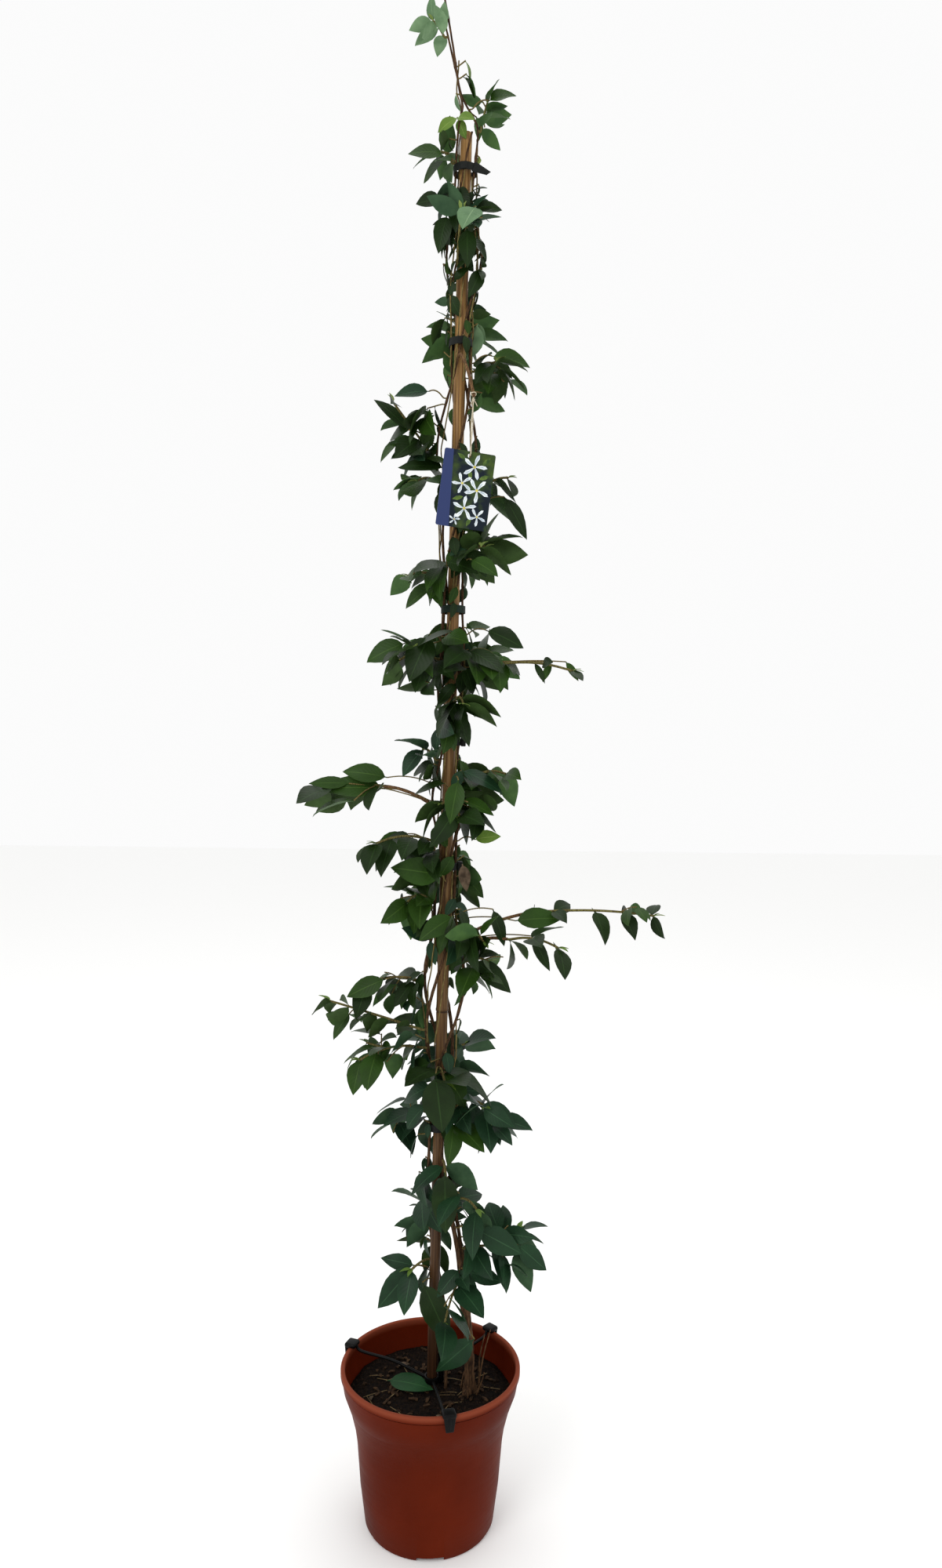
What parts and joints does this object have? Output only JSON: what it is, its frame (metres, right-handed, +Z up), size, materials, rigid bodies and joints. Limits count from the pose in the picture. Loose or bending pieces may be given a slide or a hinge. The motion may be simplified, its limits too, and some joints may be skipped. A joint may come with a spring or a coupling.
{
  "type": "potted star jasmine climber on a cane",
  "caption": "Evergreen star jasmine climber twined up a bamboo cane in a round terracotta-coloured nursery pot.",
  "frame": {"origin": "centre of the flat underside of the pot", "axes": "+Z up the cane, -Y towards the front, where the label hangs"},
  "size_m": [0.4517, 0.2336, 1.8602],
  "materials": {
    "pot_plastic": "injection moulded terracotta-coloured polypropylene with a soft sheen",
    "compost": "damp dark potting compost of composted bark and wood fibre",
    "bamboo": "dry bamboo culm with a slight natural gloss",
    "holder_plastic": "black moulded plastic",
    "bark": "grey-brown bark with fine lengthwise ridges",
    "young_stem": "thin reddish brown woody stem",
    "label_card": "glossy printed plastic card on a pale cord",
    "tie_band": "flat dark green-grey plant tie",
    "foliage": "glossy dark green leathery leaves"
  },
  "bodies": {
    "root": {"pot": "pot_plastic", "soil": "compost", "cane": "bamboo", "holder": "holder_plastic", "trunk": "bark", "label": "label_card", "tie_1": "tie_band", "tie_2": "tie_band", "tie_3": "tie_band", "tie_4": "tie_band", "tie_5": "tie_band", "tie_6": "tie_band", "stem_front": "young_stem", "stem_right": "young_stem", "stem_back": "young_stem", "stem_left": "young_stem", "bough_right_low": "young_stem", "bough_right_lower": "young_stem", "bough_left_middle": "young_stem", "bough_label": "young_stem", "leaves_foot_left": "foliage", "leaves_foot_front": "foliage", "leaves_foot_right": "foliage", "leaves_foot_upper": "foliage", "leaves_foot_back": "foliage", "leaves_low_front": "foliage", "leaves_low_right": "foliage", "leaves_low_left": "foliage", "leaves_low_back": "foliage", "leaves_tongue": "foliage", "leaves_left_reach": "foliage", "leaves_left_low": "foliage", "leaves_left_lower": "foliage", "leaves_low_inner": "foliage", "leaves_left_mid": "foliage", "leaves_right_inner": "foliage", "leaves_right_tip": "foliage", "leaves_right_lower": "foliage", "leaves_mid_back": "foliage", "leaves_left_tip": "foliage", "leaves_left_under": "foliage", "leaves_left_over": "foliage", "leaves_right_mid": "foliage", "leaves_front_mid": "foliage", "leaves_left_upper": "foliage", "leaves_right_upper": "foliage", "leaves_right_sprig": "foliage", "leaves_band": "foliage", "leaves_upper_back": "foliage", "leaves_left_band": "foliage", "leaves_right_band": "foliage", "leaves_left_card": "foliage", "leaves_right_card": "foliage", "leaves_left_high": "foliage", "leaves_right_high": "foliage", "leaves_high_back": "foliage", "leaves_column": "foliage", "leaves_crown_low": "foliage", "leaves_crown": "foliage", "leaves_leader": "foliage"}
  },
  "joints": []
}
